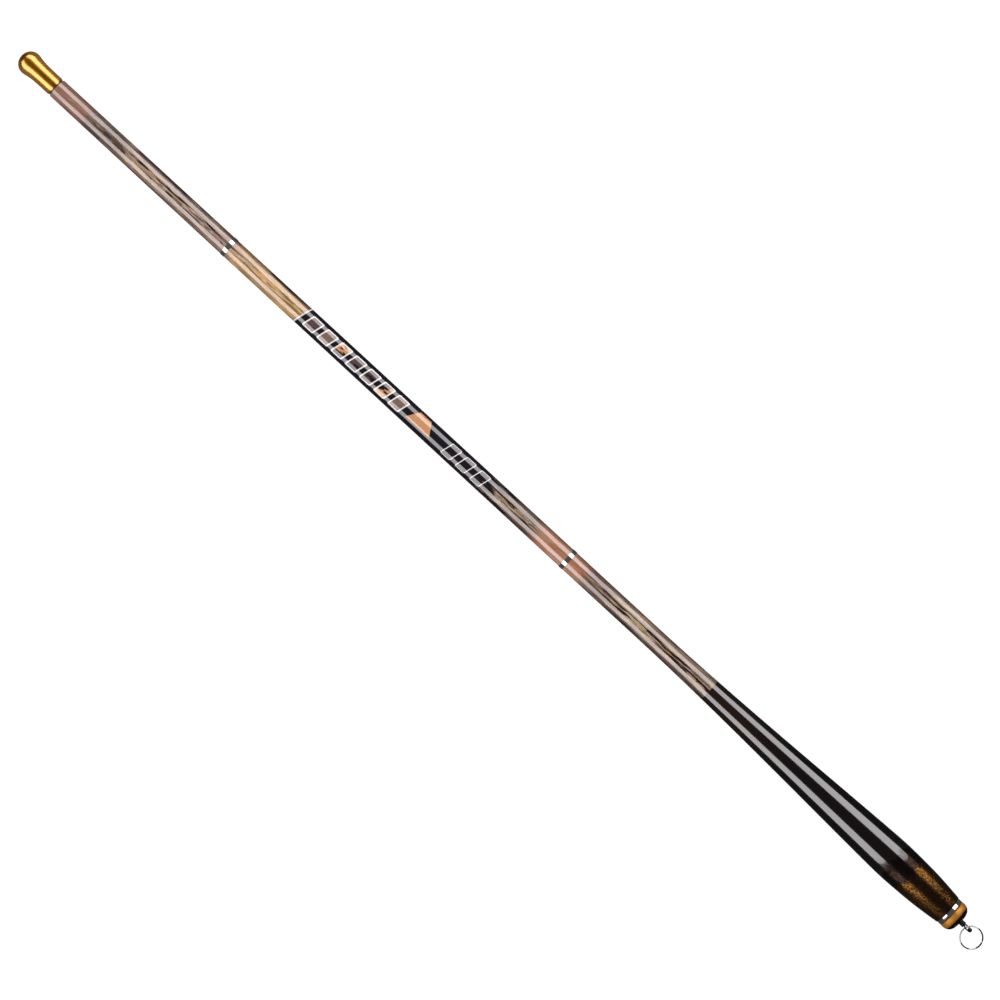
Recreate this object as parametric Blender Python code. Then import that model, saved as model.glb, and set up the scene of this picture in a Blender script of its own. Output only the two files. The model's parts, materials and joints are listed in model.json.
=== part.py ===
"""A telescopic hand rod, closed for carrying and lying on a surface.

The printed outer blank flares into a painted handle. Two thinner blanks slide out of its mouth, a gold plug closes
that mouth, and a gold cap with a turning eye and a two-turn key ring screws into the butt.

Sizes are in millimetres, and MM turns them into metres. Distances along the rod run from the flat face of the butt
cap, at 0, towards the plug's nose, along local X of the empty rod_axis. That empty lays the rod down: it rests on
the belly of the handle and on the flare of the plug.
"""

import math

import bmesh
import bpy
from mathutils import Matrix, Vector

MM = 0.001
SIDES = 32
SMALL_SIDES = 16
WIRE_RESOLUTION = 2
SHARP_ANGLE = math.radians(30)

# Butt cap, with its thread, and the flange that shows outside
CAP_FLAT_RADIUS = 4.3
CAP_RADIUS = 9.55
CAP_EDGE_LENGTH = 5.2
CAP_FLANGE = 7.1
CAP_NECK_RADIUS = 6.95
CAP_NECK_END = 17.5
CAP_RECESS_RADIUS = 5.3
CAP_RECESS_FLOOR = 5.0

# Silver collar and the threaded insert behind it
COLLAR_START = 7.4
COLLAR_RADIUS = 9.45
COLLAR_BORE = 8.35
INSERT_START = 8.3
INSERT_END = 21.0
INSERT_RADIUS = 8.2
INSERT_BORE = 7.2
FIT_GAP = 0.1

# Butt section: (distance, outer radius) where the handle and the tube were measured
BUTT_START = 10.5
MOUTH = 737.4
HANDLE_STATIONS = [
    (BUTT_START, 9.81),
    (17.6, 10.65),
    (27.2, 11.62),
    (39.2, 12.3),
    (54.0, 12.7),
    (70.4, 12.26),
    (97.4, 11.2),
    (140.6, 9.42),
    (184.0, 7.88),
    (212.6, 7.14),
    (241.0, 6.7),
    (290.0, 6.66),
]
TUBE_STATIONS = [(400.0, 6.64), (560.0, 6.5), (MOUTH, 6.33)]
BELLY = 54.0
BELLY_RADIUS = 12.7
BORE_AT_MOUTH = 5.35
BORE_AT_BUTT = 6.2
POCKET_END = 21.5
BAND_WIDTH = 2.9
BAND_WALL = 0.2
FRONT_BAND = 596.6
REAR_BAND = 320.0

# Sliding sections: they nest when closed and hold by their tapers when drawn out
MID_START = 18.5
MID_END = 743.0
MID_BASE_RADIUS = 5.25
MID_MOUTH_RADIUS = 3.9
MID_WALL = 0.75
WRAP_LENGTH = 14.0
WRAP_RADIUS = 4.15
TIP_START = 19.5
TIP_END = 748.0
TIP_BASE_RADIUS = 3.02
TIP_END_RADIUS = 0.9
TIP_BORE_LENGTH = 420.0

# Tip fitting for the line
FERRULE_START = 740.0
FERRULE_END = 750.6
FERRULE_RADIUS = 1.5
TIP_WIRE = 0.35
TIP_EYE_WIDTH = 2.5
TIP_EYE_LENGTH = 3.0

# Front plug
PLUG_START = 738.0
NOSE = 766.3
FLARE_RADIUS = 7.5
DOME_LENGTH = 6.8
NOSE_FLAT = 1.2
NECK_RADIUS = 6.22
RIM_BEVEL = 1.3
PLUG_WALL = 1.3
SOCKET_DEPTH = 10.3
SPIGOT_BORE = 4.3
SPIGOT_RADIUS = 5.05
SPIGOT_START = 724.0
SPIGOT_END = 748.0
PLUG_RING_WIRE = 0.3
PLUG_RING_PLACES = {"plug_o_ring_rear": 727.6, "plug_o_ring_front": 733.6}

# Swivel and key ring: distances outside the cap are negative
BUSH_REACH = 3.5
BUSH_RADIUS = 1.85
BUSH_CUP_RADIUS = 1.5
BUSH_CUP_DEPTH = 0.6
SHANK_RADIUS = 0.8
EYE_WIRE = 0.5
EYE_START = -3.6
EYE_END = -7.6
EYE_WIDTH = 3.8
EYE_LEAN = math.radians(30)
KNOB_RADIUS = 1.5
KNOB_MIDDLE = -7.75
RING_HINGE = -5.2
RING_OUTER = 14.6
RING_WIRE = 0.42
RING_TURN_GAP = 0.12
RING_YAW = math.radians(-23)
RING_SPLIT = math.radians(150)
RING_STEP = math.radians(18)
RING_POINTS = 26


def clear_scene():
    for thing in list(bpy.data.objects):
        bpy.data.objects.remove(thing, do_unlink=True)


def finish(name, colour, roughness, metallic=0.0):
    material = bpy.data.materials.new(name)
    material.use_nodes = True
    shader = material.node_tree.nodes["Principled BSDF"]
    shader.inputs["Base Color"].default_value = (*colour, 1.0)
    shader.inputs["Roughness"].default_value = roughness
    shader.inputs["Metallic"].default_value = metallic
    return material


def lay_down():
    """An empty on the rod's axis, turned so that the belly and the plug's flare both touch the surface at z = 0."""
    facet = math.cos(math.pi / SIDES)
    flare = NOSE - DOME_LENGTH
    tilt = math.atan((BELLY_RADIUS - FLARE_RADIUS) * facet / (flare - BELLY))
    middle = (NOSE + ring_reach()) / 2
    axis = bpy.data.objects.new("rod_axis", None)
    axis.location.x = -middle * math.cos(tilt) * MM
    axis.location.z = (BELLY_RADIUS * facet * math.cos(tilt) + BELLY * math.sin(tilt)) * MM
    axis.rotation_euler.y = tilt
    bpy.context.collection.objects.link(axis)
    return axis


def ring_centre_radius():
    return RING_OUTER / 2 - RING_WIRE


def ring_reach():
    """Where the key ring ends, behind the butt cap."""
    return RING_HINGE - ring_centre_radius() * math.cos(RING_YAW) - RING_OUTER / 2


def add_piece(name, data, material, parent, at=0.0):
    piece = bpy.data.objects.new(name, data)
    data.materials.append(material)
    piece.parent = parent
    piece.location.x = at * MM
    bpy.context.collection.objects.link(piece)
    return piece


def turned(name, outline, sides=SIDES):
    """A mesh turned about X from an outline of (distance, radius) points.

    An outline that starts and ends on the axis makes a solid piece. Any other is closed into a loop, which makes a
    hollow one. A facet faces straight down.
    """
    on_axis = outline[0][1] == 0 and outline[-1][1] == 0
    bm = bmesh.new()
    half_step = Matrix.Rotation(math.pi / sides, 4, "X")
    points = [bm.verts.new(half_step @ Vector((x * MM, 0, radius * MM))) for x, radius in outline]
    pairs = list(zip(points, points[1:]))
    if not on_axis:
        pairs.append((points[-1], points[0]))
    edges = [bm.edges.new(pair) for pair in pairs]
    bmesh.ops.spin(
        bm, geom=points + edges, cent=(0, 0, 0), axis=(1, 0, 0), angle=2 * math.pi, steps=sides, use_merge=True
    )
    bmesh.ops.remove_doubles(bm, verts=bm.verts, dist=1e-7)
    bmesh.ops.recalc_face_normals(bm, faces=bm.faces)
    mesh = bpy.data.meshes.new(name)
    bm.to_mesh(mesh)
    bm.free()
    mesh.shade_smooth()
    mesh.set_sharp_from_angle(angle=SHARP_ANGLE)
    return mesh


def smooth_through(stations, steps):
    """Points on a smooth curve through the stations, with so many steps from each to the next."""
    slopes = []
    for i in range(len(stations)):
        before = stations[max(i - 1, 0)]
        after = stations[min(i + 1, len(stations) - 1)]
        slopes.append((after[1] - before[1]) / (after[0] - before[0]))
    points = [stations[0]]
    for (x0, r0), (x1, r1), slope0, slope1 in zip(stations, stations[1:], slopes, slopes[1:]):
        span = x1 - x0
        for step in range(1, steps + 1):
            t = step / steps
            radius = (2 * t**3 - 3 * t**2 + 1) * r0 + (3 * t**2 - 2 * t**3) * r1
            radius += (t**3 - 2 * t**2 + t) * span * slope0 + (t**3 - t**2) * span * slope1
            points.append((x0 + span * t, radius))
    return points


def quarter(centre, radii, start, end, steps):
    """Points on an elliptical arc about centre, from the start angle to the end angle, both measured from +X."""
    angles = [start + (end - start) * step / steps for step in range(steps + 1)]
    return [(centre[0] + radii[0] * math.cos(a), centre[1] + radii[1] * math.sin(a)) for a in angles]


def hoop(name, centre_radius, wire, sides=SIDES, wire_sides=8):
    """A round sealing ring about X."""
    outline = [
        (wire * math.cos(turn), centre_radius + wire * math.sin(turn))
        for turn in (2 * math.pi * (side + 0.5) / wire_sides for side in range(wire_sides))
    ]
    return turned(name, outline, sides)


def bent_wire(name, path, radius, closed):
    """A round wire along the path, as a curve."""
    curve = bpy.data.curves.new(name, "CURVE")
    curve.dimensions = "3D"
    curve.bevel_depth = radius * MM
    curve.bevel_resolution = WIRE_RESOLUTION
    curve.use_fill_caps = not closed
    spline = curve.splines.new("POLY")
    spline.points.add(len(path) - 1)
    spline.use_cyclic_u = closed
    for point, place in zip(spline.points, path):
        point.co = (*(Vector(place) * MM), 1)
    return curve


def loop_of_wire(name, start, end, width, wire, lean, material, parent):
    """An oval wire loop in a plane through X, ready to be joined to its shank.

    It reaches from start back to end, measured at the middle of the wire.
    """
    radius = width / 2
    path = []
    for centre, turned_by in ((start - radius, -math.pi / 2), (end + radius, math.pi / 2)):
        for step in range(9):
            turn = turned_by + math.pi * step / 8
            across = radius * math.sin(turn)
            path.append((centre + radius * math.cos(turn), across * math.sin(lean), across * math.cos(lean)))
    curve = bpy.data.objects.new(name, bent_wire(name, path, wire, closed=True))
    mesh = bpy.data.meshes.new_from_object(curve)
    bpy.data.objects.remove(curve)
    return add_piece(name, mesh, material, parent)


def join(piece, other):
    """Makes the other piece one with this one, and hides it."""
    other.hide_render = True
    other.display_type = "WIRE"
    union = piece.modifiers.new(other.name, "BOOLEAN")
    union.operation = "UNION"
    union.solver = "EXACT"
    union.object = other


def butt_section():
    outer = smooth_through(HANDLE_STATIONS, 3) + TUBE_STATIONS[:-1]
    mouth_x, mouth_radius = TUBE_STATIONS[-1]
    mouth = [(mouth_x - 0.4, mouth_radius), (mouth_x, mouth_radius - 0.35), (mouth_x, BORE_AT_MOUTH)]
    pocket = INSERT_RADIUS + FIT_GAP
    butt = [(POCKET_END, BORE_AT_BUTT), (POCKET_END, pocket), (BUTT_START, pocket)]
    return turned("butt_section", outer + mouth + butt)


def blank_radius(distance):
    """Outer radius of the printed tube, forward of the handle."""
    stations = [HANDLE_STATIONS[-1], *TUBE_STATIONS]
    for (x0, r0), (x1, r1) in zip(stations, stations[1:]):
        if x0 <= distance <= x1:
            return r0 + (r1 - r0) * (distance - x0) / (x1 - x0)
    raise ValueError("the distance is not on the tube")


def trim_band(name, middle):
    """A thin metal band round the tube, with eased edges."""
    inner = blank_radius(middle) + 0.05
    half = BAND_WIDTH / 2
    outer = inner + BAND_WALL
    outline = [(-half, inner), (-half, outer - 0.08), (-half + 0.15, outer)]
    outline += [(half - 0.15, outer), (half, outer - 0.08), (half, inner)]
    return turned(name, outline)


def butt_collar():
    """A silver ring with a low crown, a little wider towards the cap."""
    half = (BUTT_START - COLLAR_START) / 2
    outline = [(-half, COLLAR_BORE), (-half, COLLAR_RADIUS - 0.2), (-half + 0.25, COLLAR_RADIUS)]
    outline += [(-0.2, COLLAR_RADIUS - 0.02), (half - 0.5, COLLAR_RADIUS - 0.12)]
    outline += [(half - 0.1, COLLAR_RADIUS - 0.3), (half - 0.1, COLLAR_BORE)]
    return turned("butt_collar", outline)


def thread_insert():
    outline = [
        (INSERT_START, INSERT_BORE + 0.3),
        (INSERT_START, INSERT_RADIUS - 0.15),
        (INSERT_START + 0.15, INSERT_RADIUS),
        (INSERT_END, INSERT_RADIUS),
        (INSERT_END, INSERT_BORE),
        (INSERT_START + 0.3, INSERT_BORE),
    ]
    return turned("thread_insert", outline)


def butt_cap():
    """Rounded flange outside, threaded neck inside the insert, bored for the swivel."""
    bush_bore = BUSH_RADIUS + FIT_GAP
    edge_radius = CAP_RADIUS - CAP_FLAT_RADIUS
    edge = quarter((CAP_EDGE_LENGTH, CAP_FLAT_RADIUS), (-CAP_EDGE_LENGTH, edge_radius), 0, math.pi / 2, 7)
    flange = [(CAP_FLANGE - 0.3, CAP_RADIUS), (CAP_FLANGE, CAP_RADIUS - 0.3), (CAP_FLANGE, CAP_NECK_RADIUS)]
    neck = [(CAP_NECK_END - 0.6, CAP_NECK_RADIUS), (CAP_NECK_END, CAP_NECK_RADIUS - 0.6)]
    recess = [(CAP_NECK_END, CAP_RECESS_RADIUS), (CAP_RECESS_FLOOR, CAP_RECESS_RADIUS)]
    bore = [(CAP_RECESS_FLOOR, bush_bore), (0.0, bush_bore)]
    return turned("butt_cap", edge + flange + neck + recess + bore)


def swivel_bush():
    """Pressed into the cap from inside: a flange stops it. The far end stands out, with a cup for the eye's root."""
    bore = SHANK_RADIUS + FIT_GAP
    flange = CAP_RECESS_FLOOR + FIT_GAP
    floor = -BUSH_REACH + BUSH_CUP_DEPTH
    outline = [(floor, bore), (floor, BUSH_CUP_RADIUS), (-BUSH_REACH, BUSH_CUP_RADIUS), (-BUSH_REACH, BUSH_RADIUS - 0.12)]
    outline += [(-BUSH_REACH + 0.12, BUSH_RADIUS), (flange, BUSH_RADIUS)]
    outline += [(flange, 2.6), (flange + 0.7, 2.6), (flange + 0.7, bore)]
    return turned("swivel_bush", outline, SMALL_SIDES)


def swivel_shank():
    """Round shank through the bush, its inner end peened over the washer."""
    outline = [(EYE_START, 0), (EYE_START, SHANK_RADIUS), (6.6, SHANK_RADIUS), (6.6, 1.5)]
    outline += [(7.0, 1.5), (7.5, 0.9), (7.5, 0)]
    return turned("swivel_eye", outline, SMALL_SIDES)


def swivel_knob():
    """Round knob at the far end of the eye."""
    outline = [(KNOB_MIDDLE - KNOB_RADIUS, 0)]
    for step in range(1, 8):
        turn = math.pi * (1 - step / 8)
        outline.append((KNOB_MIDDLE + KNOB_RADIUS * math.cos(turn), KNOB_RADIUS * math.sin(turn)))
    outline.append((KNOB_MIDDLE + KNOB_RADIUS, 0))
    return turned("swivel_knob", outline, SMALL_SIDES)


def swivel_washer():
    outline = [(-0.25, SHANK_RADIUS + FIT_GAP), (-0.25, 2.3), (0.25, 2.3), (0.25, SHANK_RADIUS + FIT_GAP)]
    return turned("swivel_washer", outline, SMALL_SIDES)


def disc(name, thickness, radius, ease):
    """A plain soft disc about X, eased at its rim."""
    half = thickness / 2
    outline = [(-half, 0), (-half, radius - ease), (-half + ease, radius)]
    outline += [(half - ease, radius), (half, radius - ease), (half, 0)]
    return turned(name, outline)


def split_ring():
    """Two turns of wire side by side. The path climbs from one turn to the other in a short step.

    The path starts at the hinge, where the ring hangs in the eye, and its centre lies behind it.
    """
    radius = ring_centre_radius()
    climb = RING_WIRE + RING_TURN_GAP / 2
    first, last = 1.4 * RING_STEP, 4 * math.pi - 1.4 * RING_STEP
    path = []
    steps = 2 * RING_POINTS
    for step in range(steps + 1):
        turn = first + (last - first) * step / steps
        rise = min(max((turn - 2 * math.pi) / RING_STEP, -1), 1)
        around = turn + RING_SPLIT
        path.append((radius * (math.cos(around) - 1), radius * math.sin(around), climb * math.sin(rise * math.pi / 2)))
    return bent_wire("split_ring", path, RING_WIRE, closed=False)


def mid_section():
    bore_base, bore_mouth = MID_BASE_RADIUS - MID_WALL, MID_MOUTH_RADIUS - 0.9 * MID_WALL
    outline = [
        (MID_START, bore_base),
        (MID_START, MID_BASE_RADIUS - 0.2),
        (MID_START + 0.4, MID_BASE_RADIUS),
        (MID_END - 0.3, MID_MOUTH_RADIUS),
        (MID_END, MID_MOUTH_RADIUS - 0.25),
        (MID_END, bore_mouth),
    ]
    return turned("mid_section", outline)


def mid_mouth_wrap():
    """Reinforcing wrap round the mouth of the second blank, feathered at its rear edge."""
    inner = MID_MOUTH_RADIUS + 0.09
    outline = [(-WRAP_LENGTH, inner), (-WRAP_LENGTH + 1.5, WRAP_RADIUS), (-0.2, WRAP_RADIUS), (0, inner)]
    return turned("mid_mouth_wrap", outline)


def tip_section():
    """The thinnest blank, bored from its base and solid towards the tip."""
    outline = [
        (TIP_START + TIP_BORE_LENGTH, 0),
        (TIP_START, TIP_BASE_RADIUS - 0.7),
        (TIP_START, TIP_BASE_RADIUS - 0.15),
        (TIP_START + 0.3, TIP_BASE_RADIUS),
        (TIP_END, TIP_END_RADIUS),
        (TIP_END, 0),
    ]
    return turned("tip_section", outline)


def tip_ferrule():
    """Sleeve over the tip's end, necked down at its front to hold the eye's head."""
    bore = TIP_END_RADIUS + 0.14
    outline = [
        (FERRULE_START, bore),
        (FERRULE_START, FERRULE_RADIUS - 0.25),
        (FERRULE_START + 1.2, FERRULE_RADIUS),
        (FERRULE_END - 0.5, FERRULE_RADIUS),
        (FERRULE_END, FERRULE_RADIUS - 0.4),
        (FERRULE_END, TIP_WIRE + 0.15),
        (FERRULE_END - 0.8, TIP_WIRE + 0.15),
        (FERRULE_END - 0.8, bore),
    ]
    return turned("tip_ferrule", outline, SMALL_SIDES)


def tip_shank():
    """Head inside the ferrule, and the shank that carries the line's eye."""
    head = FERRULE_END - 0.9
    outline = [(head - 0.7, 0), (head - 0.7, 0.8), (head, 0.8), (head, TIP_WIRE)]
    outline += [(FERRULE_END + 0.7, TIP_WIRE), (FERRULE_END + 0.7, 0)]
    return turned("tip_swivel_eye", outline, SMALL_SIDES)


def plug_head():
    """Domed nose, flare and waist outside; a socket for the spigot and room for the tips inside."""
    flare = NOSE - DOME_LENGTH
    nose_angle = math.acos(NOSE_FLAT / FLARE_RADIUS)
    waist = [
        (PLUG_START + RIM_BEVEL, NECK_RADIUS),
        (flare - 12.1, NECK_RADIUS + 0.03),
        (flare - 7.5, 6.45),
        (flare - 3.9, 6.9),
        (flare - 1.8, 7.34),
        (flare, FLARE_RADIUS),
    ]
    dome_outer = [
        (flare + DOME_LENGTH * math.sin(turn) / math.sin(nose_angle), FLARE_RADIUS * math.cos(turn))
        for turn in (nose_angle * step / 8 for step in range(1, 9))
    ]
    outside = [(PLUG_START, NECK_RADIUS - 0.4 * RIM_BEVEL)] + smooth_through(waist, 3) + dome_outer + [(NOSE, 0)]
    socket = SPIGOT_RADIUS + FIT_GAP
    socket_end = PLUG_START + SOCKET_DEPTH
    bore = NECK_RADIUS - PLUG_WALL
    dome_inner = quarter((flare, 0), (DOME_LENGTH - PLUG_WALL, bore), 0, math.pi / 2, 6)
    inside = dome_inner + [(socket_end, bore), (socket_end, socket), (PLUG_START, socket)]
    return turned("plug_head", inside + outside)


def plug_spigot():
    """Sleeve half in the plug and half in the rod's mouth, grooved for its two seals."""
    groove_depth = 0.4
    groove_half = PLUG_RING_WIRE + 0.12
    outer = [(SPIGOT_START, SPIGOT_RADIUS - 0.25), (SPIGOT_START + 0.5, SPIGOT_RADIUS)]
    for middle in sorted(PLUG_RING_PLACES.values()):
        outer += [(middle - groove_half, SPIGOT_RADIUS), (middle - groove_half, SPIGOT_RADIUS - groove_depth)]
        outer += [(middle + groove_half, SPIGOT_RADIUS - groove_depth), (middle + groove_half, SPIGOT_RADIUS)]
    ends = [(SPIGOT_END, SPIGOT_RADIUS), (SPIGOT_END, SPIGOT_BORE), (SPIGOT_START, SPIGOT_BORE)]
    return turned("plug_spigot", outer + ends)


def main():
    clear_scene()
    printed = finish("printed_blank", (0.32, 0.22, 0.15), 0.25)
    carbon = finish("bare_carbon", (0.03, 0.03, 0.035), 0.35)
    silver = finish("silver", (0.85, 0.85, 0.87), 0.15, 1.0)
    gold = finish("gold", (0.95, 0.62, 0.18), 0.2, 1.0)
    orange_gold = finish("orange_gold", (0.85, 0.42, 0.09), 0.28, 1.0)
    steel = finish("steel", (0.5, 0.5, 0.52), 0.25, 1.0)
    brass = finish("brass", (0.78, 0.6, 0.28), 0.35, 1.0)
    plastic = finish("black_plastic", (0.03, 0.03, 0.03), 0.45)
    rubber = finish("black_rubber", (0.02, 0.02, 0.02), 0.7)
    foam = finish("foam", (0.05, 0.05, 0.055), 0.95)
    rod = lay_down()

    add_piece("butt_section", butt_section(), printed, rod)
    add_piece("trim_band_front", trim_band("trim_band_front", FRONT_BAND), silver, rod, FRONT_BAND)
    add_piece("trim_band_rear", trim_band("trim_band_rear", REAR_BAND), silver, rod, REAR_BAND)
    add_piece("butt_collar", butt_collar(), silver, rod, (COLLAR_START + BUTT_START) / 2)
    add_piece("thread_insert", thread_insert(), brass, rod)

    add_piece("mid_section", mid_section(), carbon, rod)
    add_piece("mid_mouth_wrap", mid_mouth_wrap(), printed, rod, MID_END - 0.4)
    add_piece("tip_section", tip_section(), carbon, rod)
    add_piece("tip_ferrule", tip_ferrule(), steel, rod)
    tip_eye = add_piece("tip_swivel_eye", tip_shank(), steel, rod)
    near = FERRULE_END + 0.5
    join(tip_eye, loop_of_wire("tip_loop", near + TIP_EYE_LENGTH, near, TIP_EYE_WIDTH, TIP_WIRE, 0.0, steel, rod))

    add_piece("plug_head", plug_head(), gold, rod)
    add_piece("plug_spigot", plug_spigot(), plastic, rod)
    for name, place in PLUG_RING_PLACES.items():
        add_piece(name, hoop(name, SPIGOT_RADIUS - 0.08, PLUG_RING_WIRE), rubber, rod, place)
    add_piece("plug_pad", disc("plug_pad", 2.8, 4.6, 0.3), foam, rod, NOSE - DOME_LENGTH + 0.1)

    add_piece("butt_cap", butt_cap(), orange_gold, rod)
    add_piece("cap_o_ring", hoop("cap_o_ring", CAP_NECK_RADIUS + 0.55, 0.42), rubber, rod, CAP_FLANGE + 0.55)
    add_piece("cushion_pad", disc("cushion_pad", 4.0, CAP_RECESS_RADIUS - FIT_GAP, 0.4), foam, rod, CAP_NECK_END - 1.6)
    add_piece("swivel_bush", swivel_bush(), steel, rod)
    add_piece("swivel_washer", swivel_washer(), steel, rod, 6.2)
    eye = add_piece("swivel_eye", swivel_shank(), steel, rod)
    join(eye, loop_of_wire("swivel_loop", EYE_START, EYE_END, EYE_WIDTH, EYE_WIRE, EYE_LEAN, steel, rod))
    join(eye, add_piece("swivel_knob", swivel_knob(), steel, rod))
    ring = add_piece("split_ring", split_ring(), steel, rod, RING_HINGE)
    ring.rotation_euler.z = RING_YAW


main()
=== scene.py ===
"""Looks of a closed telescopic hand rod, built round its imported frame.

Pieces are modelled along X from the middle of the butt cap's flat face, at 0, towards the plug's nose, and
are then laid down with the rod's own lean. MM turns millimetres into metres. Patterns are worked out in
millimetres.
"""

import json
import math

import bmesh
import bpy
from bpy.props import FloatProperty, FloatVectorProperty, PointerProperty
from bpy.types import Operator, Panel, PropertyGroup
from mathutils import Matrix, Vector


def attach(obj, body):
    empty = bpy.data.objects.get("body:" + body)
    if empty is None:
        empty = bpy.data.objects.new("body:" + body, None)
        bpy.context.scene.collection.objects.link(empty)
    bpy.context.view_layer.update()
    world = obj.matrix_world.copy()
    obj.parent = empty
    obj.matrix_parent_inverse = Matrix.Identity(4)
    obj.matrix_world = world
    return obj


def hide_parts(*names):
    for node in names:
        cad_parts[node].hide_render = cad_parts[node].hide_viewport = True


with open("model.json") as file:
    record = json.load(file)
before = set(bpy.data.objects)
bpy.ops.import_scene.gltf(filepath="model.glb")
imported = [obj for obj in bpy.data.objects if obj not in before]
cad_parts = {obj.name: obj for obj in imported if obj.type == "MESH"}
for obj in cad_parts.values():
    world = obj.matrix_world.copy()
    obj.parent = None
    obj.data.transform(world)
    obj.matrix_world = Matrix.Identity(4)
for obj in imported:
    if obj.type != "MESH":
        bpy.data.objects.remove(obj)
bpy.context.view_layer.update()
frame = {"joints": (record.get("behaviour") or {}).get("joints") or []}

bl_info = {
    "name": "Telescopic Hand Rod",
    "version": (1, 0, 0),
    "blender": (4, 5, 0),
    "location": "3D Viewport > Sidebar > Hand Rod",
    "description": "Models a closed telescopic hand rod, its plug, butt cap and key ring",
    "category": "Object",
}

MM = 0.001
SIDES = 128  # of a turned piece here
CAD_SIDES = 32  # of a turned piece in the solids
# A round piece of this share of the radius touches the solids' flat sides.
FLATS = math.cos(math.pi / CAD_SIDES)
SHARP = math.radians(32)  # edges that turn by more stay sharp
MERGE = 1e-7  # points nearer than this are made one

JOINTS = {joint["name"]: joint for joint in frame["joints"]}
CAP_FACE = Vector(JOINTS["cap_turn"]["pos_m"])
ALONG = Vector(JOINTS["mid_slide"]["axis"])
LEAN = math.atan2(-ALONG.z, ALONG.x)
LAID_DOWN = Matrix.Translation(CAP_FACE) @ Matrix.Rotation(LEAN, 4, "Y")

# Outer blank: (distance, radius) in millimetres
HANDLE = [
    (10.5, 9.81),
    (17.6, 10.65),
    (27.2, 11.62),
    (39.2, 12.3),
    (54.0, 12.7),
    (70.4, 12.26),
    (97.4, 11.2),
    (140.6, 9.42),
    (184.0, 7.88),
    (212.6, 7.14),
    (241.0, 6.7),
    (290.0, 6.66),
]
TUBE = [(400.0, 6.64), (560.0, 6.5), (737.4, 6.33)]
MOUTH = 737.4

# Places along X and radii of the other pieces, in millimetres
BANDS = {"trim_band_front": 596.6, "trim_band_rear": 320.0}
BAND_HALF = 1.45
NOSE = 766.3
FLARE = 759.5
FLARE_RADIUS = 7.5
PLUG_START = 738.0
SPIGOT_RADIUS = 5.05
SEALS = {"plug_o_ring_rear": 727.6, "plug_o_ring_front": 733.6}
THREAD_RADIUS = 6.95
INSERT_RADIUS = 7.2
RING_HINGE = -5.2
RING_YAW = math.radians(-23)
RING_TURN = math.radians(18)  # half of the stretch in which the ring's wire steps from one turn to the other

# Print and paint, in millimetres. What changes along the blank is given up to PRINT_END, just past its mouth.
PRINT_END = 750.0
HANDLE_END = 204.5
TUBE_RADIUS = 6.6
PANEL_SLANT = 0.28
PANEL_CORNER = 0.8
WEDGE_MIDDLE = 440.0
WEDGE_HALF = 7.7
TAPE_PITCH = 2.4
# Painted shade on the key ring, given as stretches of its round.
RING_PAINTED_DARK = [(-180, -166), (-152, -88), (72, 118), (160, 180)]  # dark stretches round the ring, in degrees

# Studio, in metres. The floor falls away ahead of the plug, because drawn-out sections keep the rod's lean.
FLOOR_REACH = 60.0
FLOOR_BEND = 0.4
FLOOR_FALL = 0.012
SURROUND_RADIUS = 3.0
CARD_REACH = 3.1
CARD_HEIGHT = 0.0004
BOX_LENGTH = 2.85
CAMERA_PLACE = (0.0003, 0.00139)
CAMERA_TURN = math.radians(-137.31)


def length(name, description, millimetres):
    """A size that the user can change, given in millimetres and kept in metres."""
    limits = {"default": millimetres * MM, "min": 0.0, "unit": "LENGTH", "precision": 5}
    return FloatProperty(name=name, description=description, **limits)


def colour(name, description, *shade):
    limits = {"default": shade, "min": 0.0, "max": 1.0, "size": 3, "subtype": "COLOR"}
    return FloatVectorProperty(name=name, description=description, **limits)


class PrintSettings(PropertyGroup):
    """Colours of the printed blank and the painted handle."""

    tan: colour("Tan", "Ground of the print next to the handle", 0.32, 0.215, 0.15)
    lilac: colour("Dark lilac", "Ground of the dark stretch behind the rear band", 0.13, 0.07, 0.062)
    pale: colour("Pale", "Pale edges and clouds of the print", 0.72, 0.60, 0.50)
    copper: colour("Copper", "Ground round the rear band", 0.46, 0.20, 0.11)
    grey_brown: colour("Grey brown", "Ground ahead of the rear band", 0.21, 0.135, 0.095)
    cream: colour("Cream", "Ground behind the front band", 0.66, 0.39, 0.17)
    brown: colour("Brown", "Ground ahead of the front band", 0.31, 0.20, 0.15)
    slate: colour("Slate", "Ground of the dark stretch near the mouth", 0.10, 0.058, 0.055)
    pink_brown: colour("Pink brown", "Ground at the mouth", 0.28, 0.135, 0.095)
    black: colour("Black", "The black stretch of the print", 0.009, 0.007, 0.012)
    vein: colour("Vein", "Dark veins of the print", 0.026, 0.012, 0.007)
    gold_patch: colour("Gold patch", "Golden islands between the veins", 0.52, 0.35, 0.09)
    orange: colour("Orange", "Panels and the wedge in the black stretch", 0.64, 0.30, 0.14)
    outline: colour("Outline", "Outlines of the panels", 0.86, 0.83, 0.80)
    # Painted shade: the colour that the print's flanks are darkened towards.
    flank: colour("Flank", "Dark flanks of the print", 0.028, 0.022, 0.026)
    handle: colour("Handle", "Paint of the handle", 0.003, 0.0022, 0.002)
    handle_brown: colour("Handle brown", "Tint of the handle's paint at its front", 0.014, 0.006, 0.003)
    flake: colour("Flake", "Metal flakes at the butt", 0.60, 0.27, 0.055)
    dull_flake: colour("Dull flake", "Flakes where they thin out", 0.11, 0.065, 0.045)
    flake_end: length("Flakes' reach", "Distance from the cap's face at which the bright flakes end", 41.0)
    dull_end: length("Dull flakes' reach", "Distance from the cap's face at which the last flakes end", 57.0)


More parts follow.
